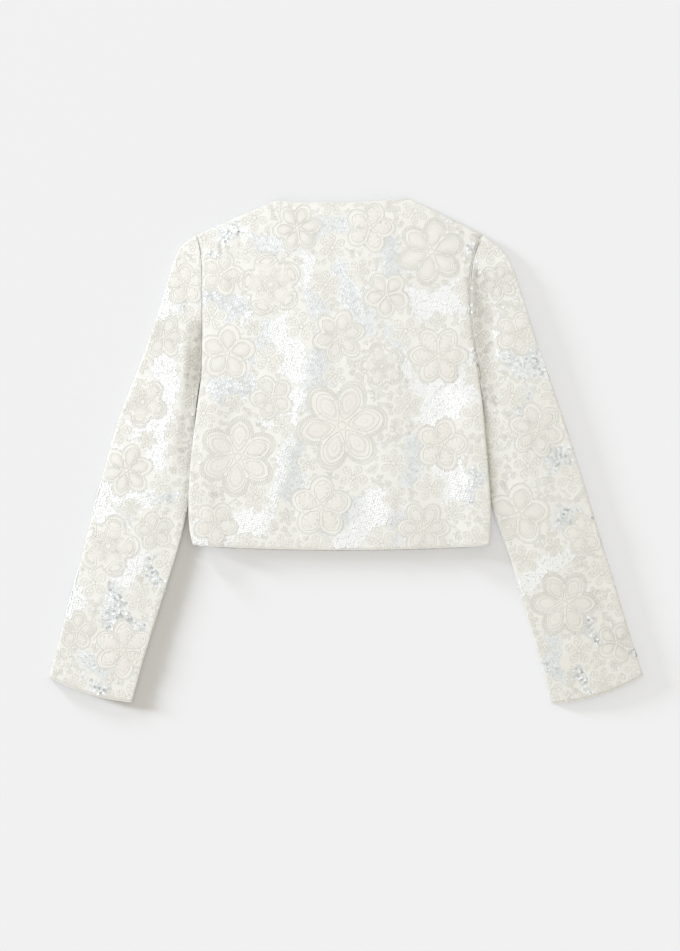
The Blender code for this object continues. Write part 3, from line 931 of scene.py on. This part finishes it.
def small_flower_cords(flower, rng):
    """(path, thickness) of each cord of a small flower."""
    cords = [(ring_path(flower, 0.16, 1.2), CORD)]
    for own, angle in hand_placed(flower, rng):
        cords.append((petal_path(own, angle, 0.22, 0.96, 0.95, 1.8), FINE_CORD))
        cords.append((wave_path(own, angle, 0.36, 0.86, 0.6, 2.6), FINE_CORD))
    return cords


def plan_grid(low, high, pitch):
    """Plan points in even rows between two corners."""
    columns, rows = (np.arange(low[i], high[i], pitch) for i in range(2))
    return np.stack(np.meshgrid(columns, rows), axis=-1).reshape(-1, 2)


def small_flowers(surface, flowers, bounds, rng):
    """Small flowers in the gaps between the large ones, clear of the open patches of sequins."""
    low, high = bounds
    found = []
    for radius in SMALL_RADII:
        grid = plan_grid(low, high, SMALL_GRID)
        grid = rng.permutation(grid + rng.uniform(-3, 3, grid.shape))
        clear = inside_of(grid, flowers) < -(radius + 3)
        open_patch = sequins_at(grid)[0] > 0.4
        for x, y in grid[clear & ~open_patch]:
            reach = radius + SMALL_GAP
            apart = all(math.hypot(x - other.x, y - other.y) > reach + other.radius for other in found)
            if apart and surface.under((x, y)):
                petals = int(rng.integers(5, 7))
                found.append(Flower(x, y, radius, petals, float(rng.uniform(0, 72)), "waves"))
    return found


def wandering_cords(flowers, bounds, rng):
    """Short cords that wander over the ground between the flowers and the patches of sequins."""
    grid = plan_grid(*bounds, WANDER_PITCH)
    starts = grid + rng.uniform(-WANDER_JITTER, WANDER_JITTER, grid.shape)
    along = np.arange(WANDER_POINTS) * WANDER_STEP
    first, phase = rng.uniform(0, 2 * math.pi, (2, len(starts), 1))
    heading = first + WANDER_SWING * np.sin(2 * math.pi * along / WANDER_BEND + phase)
    steps = WANDER_STEP * np.stack([np.cos(heading), np.sin(heading)], axis=-1)
    paths = starts[:, None] + np.cumsum(steps, axis=1) - steps.sum(axis=1, keepdims=True) / 2
    on_ground = (inside_of(paths, flowers) < -HALO) & (sequins_at(paths)[0] < 0.5)
    lengths = np.where(on_ground.all(axis=1), WANDER_POINTS, np.argmin(on_ground, axis=1))
    return [(path[:length], FINE_CORD) for path, length in zip(paths, lengths) if length > 3]


def cords_piece(name, runs, material):
    """Cords of several thicknesses as one mesh; each run is (points, radius)."""
    curve = bpy.data.curves.new(name, "CURVE")
    curve.dimensions = "3D"
    curve.bevel_depth = MM
    curve.bevel_resolution = 0
    curve.use_fill_caps = True
    for points, radius in runs:
        closed = np.linalg.norm(points[0] - points[-1]) < 1e-7
        kept = points[:-1] if closed else points
        spline = curve.splines.new("POLY")
        spline.points.add(len(kept) - 1)
        spline.points.foreach_set("co", np.column_stack([kept, np.ones(len(kept))]).ravel())
        spline.points.foreach_set("radius", np.full(len(kept), radius))
        spline.use_cyclic_u = bool(closed)
    holder = bpy.data.objects.new(name + "_curve", curve)
    mesh = bpy.data.meshes.new_from_object(holder)
    bpy.data.objects.remove(holder)
    mesh.name = name
    return add_piece(name, mesh, material, "embroidered_cloth")


def disc_pattern(sides, insets, open_middle):
    """Points and faces of a unit disc made of rings, with or without its middle."""
    bm = bmesh.new()
    bmesh.ops.create_circle(bm, cap_ends=True, segments=sides, radius=1)
    bm.faces.ensure_lookup_table()
    middle = bm.faces[0]
    for inset in insets:
        bmesh.ops.inset_region(bm, faces=[middle], thickness=inset, use_boundary=True, use_even_offset=True)
    if open_middle:
        bm.faces.remove(middle)
    bm.verts.index_update()
    points = np.array([vert.co for vert in bm.verts])
    faces = [[vert.index for vert in face.verts] for face in bm.faces]
    bm.free()
    return points, faces


def repeated(name, faces, copies, values):
    """One mesh of many copies of a pattern, with each attribute's value for every point of every copy."""
    count = copies.shape[1]
    mesh = bpy.data.meshes.new(name)
    every = [[index + copy * count for index in face] for copy in range(len(copies)) for face in faces]
    mesh.from_pydata(copies.reshape(-1, 3).tolist(), [], every)
    for key, value in values.items():
        set_attribute(mesh, key, np.broadcast_to(value, copies.shape[:2]).ravel())
    return mesh


def satin_piece(name, surface, flowers, material):
    """A low pad of satin stitch in each petal."""
    disc, faces = disc_pattern(16, (0.3, 0.3), False)
    reach = np.hypot(disc[:, 0], disc[:, 1])
    dome = SATIN_BASE + SATIN_DOME * np.maximum(1 - reach**2, 0) ** 0.8
    share = (1 + disc[:, 0]) / 2
    bulge = np.sqrt(np.maximum(1 - disc[:, 0] ** 2, 1e-6))
    low, high, slim = SATIN_PETAL
    copies, threads, warms = [], [], []
    for index, flower in enumerate(flowers):
        length = (high - low) * flower.radius
        across = slim * petal_half_width(flower, share) * disc[:, 1] / bulge
        along = low * flower.radius + share * length
        for k in range(flower.petals):
            plan = turned(flower, along, across, 2 * math.pi * k / flower.petals)
            found = [surface.under(point) for point in plan]
            if all(found):
                copies.append([place + normal * (rise * MM) for (place, normal), rise in zip(found, dome)])
                threads.append(along)
                warms.append(np.full(len(disc), 0.25 + 0.55 * ((index * 7 + k * 3) % 5) / 4))
    mesh = repeated(name, faces, np.array(copies), {"thread": np.array(threads), "warm": np.array(warms)})
    return add_piece(name, mesh, material, "embroidered_cloth")


def sequins_piece(name, surface, flowers, edges, grain, rng, material):
    """Sequins over the net between the flowers, in rows along the grain, tilted by folds and by chance."""
    disc, faces = disc_pattern(SEQUIN_SIDES, (SEQUIN_RIM,), True)
    low, high = edges.min(axis=0), edges.max(axis=0)
    middle, half = (low + high) / 2, np.linalg.norm(high - low) / 2
    columns = np.arange(-half, half, SEQUIN_PITCH)
    rows = np.arange(-half, half, SEQUIN_PITCH * math.sin(math.pi / 3))
    u, v = np.meshgrid(columns, rows)
    u = u + (np.arange(len(rows)) % 2)[:, None] * SEQUIN_PITCH / 2
    flat = np.stack([u, v], axis=-1).reshape(-1, 2) + rng.uniform(-0.6, 0.6, (u.size, 2))
    axis = math.radians(grain)
    turn = np.array([[math.cos(axis), -math.sin(axis)], [math.sin(axis), math.cos(axis)]])
    plan = middle + flat @ turn.T
    keep = ((plan > low) & (plan < high)).all(axis=1) & (inside_of(plan, flowers) < -HALO - 0.9)
    gap = np.concatenate([
        np.linalg.norm(chunk[:, None] - edges, axis=-1).min(axis=1) for chunk in np.array_split(plan, 20)
    ])
    keep &= gap > SEQUIN_RADIUS + 0.5
    stray = rng.random(len(plan)) < STRAY_SEQUINS
    keep &= sequins_at(plan)[0] > np.where(stray, -1, rng.uniform(0.3, 0.7, len(plan)))
    places, normals, where = [], [], []
    for point in plan[keep]:
        found = surface.under(point)
        if found:
            places.append(found[0])
            normals.append(found[1])
            where.append(point)
    places, normals, where = (np.array(values) for values in (places, normals, where))
    # The tone paints each sequin's colour: the patches give painted highlight and painted shade, and chance adds a
    # random part; it also tilts the sequins a little
    _, tone, scatter = sequins_at(where)
    tone = np.clip(tone + rng.normal(0, 1, len(where)) * (0.16 + 1.1 * scatter), -2.6, 1)
    light = np.array(TO_LIGHT) * (0.02 + 0.035 * tone)[:, None]
    lean = light + rng.normal(0, 1, (len(where), 2)) * (0.03 + 0.12 * scatter)[:, None]
    normals[:, :2] += lean
    normals /= np.linalg.norm(normals, axis=1)[:, None]
    sideways = np.cross(normals, [0.0, 1.0, 0.0])
    sideways /= np.linalg.norm(sideways, axis=1)[:, None]
    forward = np.cross(normals, sideways)
    radius = SEQUIN_RADIUS * rng.uniform(0.93, 1.07, len(where)) * MM
    cup = (np.hypot(disc[:, 0], disc[:, 1]) - 1) * SEQUIN_CUP
    local = np.einsum("k,nj->nkj", disc[:, 0], sideways) + np.einsum("k,nj->nkj", disc[:, 1], forward)
    local += np.einsum("k,nj->nkj", cup, normals)
    copies = places[:, None] + normals[:, None] * (SEQUIN_RISE * MM) + local * radius[:, None, None]
    mesh = repeated(name, faces, copies, {"tone": tone[:, None]})
    return add_piece(name, mesh, material, "sequins")


def dressed(panel, bm, surface, flowers, grain, rng, finishes, extra_cords):
    """The cords, satin stitch and sequins of one panel."""
    points = in_drawing([vert.co for vert in bm.verts])
    bounds = points.min(axis=0), points.max(axis=0)
    small = small_flowers(surface, flowers, bounds, rng)
    every = (*flowers, *small)
    large_cords = [cord for flower in flowers for cord in large_flower_cords(flower, rng)]
    small_cords = [cord for flower in small for cord in small_flower_cords(flower, rng)]
    small_cords += wandering_cords(every, bounds, rng)
    paths = {
        "_cords": [cord for cord in large_cords + small_cords if cord[1] == CORD],
        "_fine_cords": [cord for cord in large_cords if cord[1] == FINE_CORD],
        "_ground_cords": [cord for cord in small_cords if cord[1] == FINE_CORD],
    }
    runs = {name: surface.sewn(cords) for name, cords in paths.items()}
    runs["_cords"] += extra_cords
    cords = [cords_piece(panel + name, sewn, finishes["cord"]) for name, sewn in runs.items()]
    satin = satin_piece(panel + "_satin", surface, flowers, finishes["satin"])
    edges = in_drawing(np.concatenate(border_loops(bm)))
    sequins = sequins_piece(panel + "_sequins", surface, every, edges, grain, rng, finishes["sequin"])
    return every, [*cords, satin, sequins]


def binding(loops, choose):
    """The thin bound edge along the chosen stretches of the cloth's borders."""
    runs = []
    for loop in loops:
        chosen = [choose(*point) for point in in_drawing(loop)]
        if all(chosen):
            runs.append([*loop, loop[0]])
        for i in range(len(loop)):
            if chosen[i] and not chosen[i - 1]:
                run = []
                while chosen[(i + len(run)) % len(loop)]:
                    run.append(loop[(i + len(run)) % len(loop)])
                runs.append(run)
    with_painted_valley_shade = [np.array(run) - [0, 0, BINDING_SINK * MM] for run in runs]
    return [(np.column_stack([run[:, :2], np.maximum(run[:, 2], BINDING * MM)]), BINDING) for run in with_painted_valley_shade]


def build_jacket():
    rng = np.random.default_rng(SEED)
    finishes = {
        "cloth": cloth_finish("embroidered_net"),
        "cord": cord_finish(),
        "satin": satin_finish(),
        "sequin": sequin_finish(),
    }
    creases = {
        "back": BACK_CREASES,
        "left_sleeve": LEFT_SLEEVE_CREASES,
        "right_sleeve": RIGHT_SLEEVE_CREASES,
    }
    shells = {}
    for node in ("back", "left_front", "right_front", "left_sleeve", "right_sleeve"):
        shells[node] = refined(outer_shell(node, "front" not in node))
    border = in_drawing(border_loops(shells["back"])[0])
    armholes = {}
    for side, sign in (("left", -1), ("right", 1)):
        armholes[side] = border[(border[:, 0] * sign > BODY_SIDE) & (border[:, 1] > UNDERARM)]
    for node, bm in shells.items():
        grooves = []
        for side, path in armholes.items():
            if node == "back":
                grooves.append((path, GROOVE_WIDTH, GROOVE_DEPTH))
            if node == side + "_sleeve":
                grooves.append((path, SLEEVE_GROOVE_WIDTH[side], GROOVE_DEPTH))
        creased(bm, creases.get(node, ()), grooves)
    back = Surface(shells["back"])
    sleeves = {side: Surface(shells[side + "_sleeve"], (back.tree,)) for side in ("left", "right")}
    edges = border_loops(shells["back"])
    hem = binding(edges, lambda x, y: y < HEM_BELOW or (y > NECK_ABOVE and NECK_ENDS[0] < x < NECK_ENDS[1]))
    hem += binding(edges, lambda x, y: y > UNDERARM and abs(x) > BODY_SIDE)
    flowers, on_panel = {}, {}
    flowers["back"], on_panel["back"] = dressed(
        "back", shells["back"], back, BACK_FLOWERS, 11, rng, finishes, hem
    )
    for side, own, grain in (("left", LEFT_SLEEVE_FLOWERS, 74), ("right", RIGHT_SLEEVE_FLOWERS, -73)):
        panel = side + "_sleeve"
        cuff = binding(border_loops(shells[panel]), lambda x, y: y < 0)
        flowers[panel], on_panel[panel] = dressed(
            panel, shells[panel], sleeves[side], own, grain, rng, finishes, cuff
        )
        flowers[side + "_front"] = BACK_FLOWERS
        on_panel[side + "_front"] = []
    cuts = {
        "back": ((0.412, 0.473), 0.172, ["left_front_cloth", "right_front_cloth"]),
        "left_front": ((0.206, 0.47), 0.083, ["left_sleeve_cloth", "floor"]),
        "right_front": ((0.204, 0.47), 0.081, ["right_sleeve_cloth", "floor"]),
        "left_sleeve": ((0.36, 0.64), 0.13, ["floor"]),
        "right_sleeve": ((0.36, 0.64), 0.13, ["floor"]),
    }
    for node, (flat, area, rests_on) in cuts.items():
        slot = "front_cloth" if "front" in node else "embroidered_cloth"
        piece = cloth_piece(node + "_cloth", shells[node], flowers[node], finishes["cloth"], slot)
        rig.replaces(piece, node)
        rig.sheet(piece, flat=flat, held="laid", rests_on=rests_on, area=area, with_pieces=on_panel[node])


# Floor, light and camera, in metres
FLOOR_HALF = 6.0
FLOOR_DROP = 0.0003
PALE_FLOOR = (0.72, 0.72, 0.72)
ROOM_LIGHT = (1.0, 0.97, 0.885)
ROOM_STRENGTH = 0.755
FLOOR_LIGHT = (0.84, 0.882, 1.0)
FLOOR_KEY = 1.70  # what all the suns together give the floor
CLOTH_LIGHT = (0.89, 0.95, 1.06)
LENS = 85
EYE = (-0.008, -0.0332, 3.03)


def floor():
    bm = bmesh.new()
    bmesh.ops.create_grid(bm, x_segments=1, y_segments=1, size=FLOOR_HALF)
    bmesh.ops.translate(bm, verts=bm.verts, vec=(0, 0, -FLOOR_DROP))
    mesh = bpy.data.meshes.new("floor")
    bm.to_mesh(mesh)
    bm.free()
    finish = Finish("pale_floor")
    mesh.materials.append(finish.surface(Base_Color=opaque(PALE_FLOOR), Roughness=0.9))
    piece = bpy.data.objects.new("floor", mesh)
    bpy.context.scene.collection.objects.link(piece)
    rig.stage(piece)


def collection_of(name, pieces):
    made = bpy.data.collections.new(name)
    for piece in pieces:
        made.objects.link(piece)
    return made


def shine(name, data, toward, place, receivers, blockers):
    """A light that lights only the receivers, and in which only the blockers cast shadows."""
    light = bpy.data.objects.new(name, data)
    light.location = place
    light.rotation_euler = Vector(toward).to_track_quat("Z", "Y").to_euler()
    bpy.context.scene.collection.objects.link(light)
    light.light_linking.receiver_collection = collection_of(name + "_receivers", receivers)
    light.light_linking.blocker_collection = collection_of(name + "_blockers", blockers)


def sun(name, toward, strength, spread, colour, receivers, blockers):
    """Light from far away, of the same strength everywhere; spread is its width in degrees."""
    data = bpy.data.lights.new(name, "SUN")
    data.energy = strength
    data.color = colour
    data.angle = math.radians(spread)
    shine(name, data, toward, (0, 0, 0), receivers, blockers)


def softbox(name, toward, distance, width, power, colour, receivers, blockers):
    """A square area light that faces the jacket's middle from near by, so its light falls off across it."""
    data = bpy.data.lights.new(name, "AREA")
    data.shape = "SQUARE"
    data.size = width
    data.energy = power
    data.color = colour
    shine(name, data, toward, Vector(toward) * distance, receivers, blockers)


def direction(azimuth, elevation):
    """The direction of a light, its azimuth counted from +X toward +Y."""
    a, e = math.radians(azimuth), math.radians(elevation)
    return math.cos(a) * math.cos(e), math.sin(a) * math.cos(e), math.sin(e)


def lighting():
    world = bpy.data.worlds.new("studio")
    world.use_nodes = True
    background = world.node_tree.nodes["Background"]
    background.inputs["Color"].default_value = opaque(ROOM_LIGHT)
    background.inputs["Strength"].default_value = ROOM_STRENGTH
    bpy.context.scene.world = world
    stage = [piece for piece in bpy.context.scene.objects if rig.is_stage(piece)]
    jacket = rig.pieces()
    sleeve = [piece for piece in jacket if piece.name.startswith("left_sleeve")]
    body = [piece for piece in jacket if "right_sleeve" not in piece.name]
    # The near light on the left makes the left sleeve's shadow the darkest, and the right one's the palest
    for name, blockers, share, azimuth, elevation in (
        ("jacket", jacket, 0.28, 158, 8),
        ("body", body, 0.26, 130, 9),
        ("sleeve", sleeve, 0.46, 160, 8),
    ):
        strength = FLOOR_KEY * share / math.sin(math.radians(elevation))
        toward = direction(azimuth, elevation)
        sun("floor_key_" + name, toward, strength, elevation, FLOOR_LIGHT, stage, blockers)
    softbox("cloth_key", direction(146, 46), 2.3, 1.2, 28.5, CLOTH_LIGHT, jacket, jacket)
    sun("glare", direction(128, 62), 0.06, 30, (1, 1, 1), jacket, jacket)


def camera():
    data = bpy.data.cameras.new("camera")
    data.lens = LENS
    data.sensor_width = 36
    eye = bpy.data.objects.new("camera", data)
    eye.location = EYE
    bpy.context.scene.collection.objects.link(eye)
    bpy.context.scene.camera = eye


floor()
camera()
build_jacket()
lighting()
bpy.context.scene.view_settings.view_transform = "Standard"

boxes = {"cad": cad_box, "visual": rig.bounds()}
with open("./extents.json", "w") as out:
    json.dump({name: [list(point) for point in box] for name, box in boxes.items()}, out)
